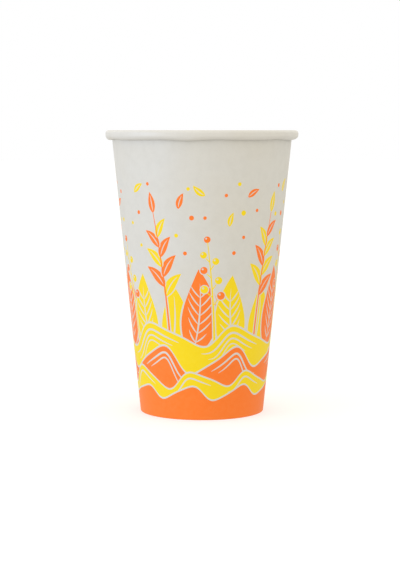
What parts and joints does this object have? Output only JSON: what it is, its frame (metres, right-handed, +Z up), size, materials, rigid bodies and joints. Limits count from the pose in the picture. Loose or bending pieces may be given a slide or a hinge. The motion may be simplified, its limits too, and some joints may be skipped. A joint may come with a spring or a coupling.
{
  "type": "paper cup",
  "caption": "Tapered single-wall paper drinking cup with a rolled rim, a lapped side seam and a recessed base disc held in a folded foot.",
  "frame": {"origin": "centre of the foot ring, on the table", "axes": "+Z up along the cup's axis, +Y towards the side seam, -Y towards the pictured side"},
  "size_m": [0.09, 0.09, 0.132],
  "materials": {
    "wall_board": "satin",
    "base_board": "satin"
  },
  "bodies": {
    "root": {"sidewall": "wall_board", "base_disc": "base_board"}
  },
  "joints": []
}
